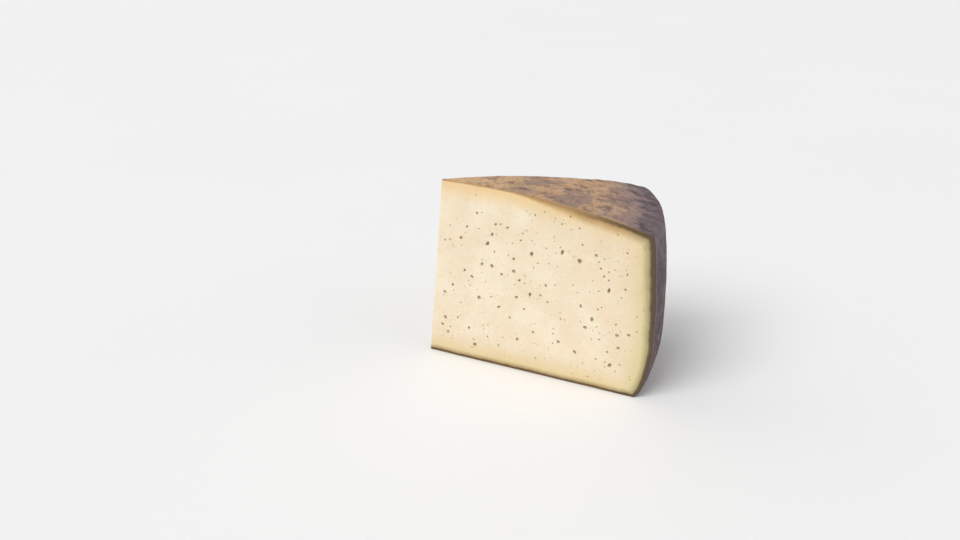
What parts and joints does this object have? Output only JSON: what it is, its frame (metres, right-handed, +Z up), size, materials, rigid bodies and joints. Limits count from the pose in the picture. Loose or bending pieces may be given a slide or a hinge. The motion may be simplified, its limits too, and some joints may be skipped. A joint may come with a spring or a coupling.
{
  "type": "asiago cheese wedge",
  "caption": "Wedge cut from a wheel of asiago cheese: two flat cut faces with small eyes, a domed top and a curved heel under a thin brown rind, resting on its flat base.",
  "frame": {"origin": "middle of the base, at table height", "axes": "+X from the thin edge to the heel along the middle of the wedge, +Y towards the back cut face, +Z up"},
  "size_m": [0.1714, 0.1164, 0.1338],
  "materials": {
    "paste": "pale cream paste, smooth and faintly waxy, with a brown matt rind"
  },
  "bodies": {
    "root": {"cheese_wedge": "paste"}
  },
  "joints": []
}
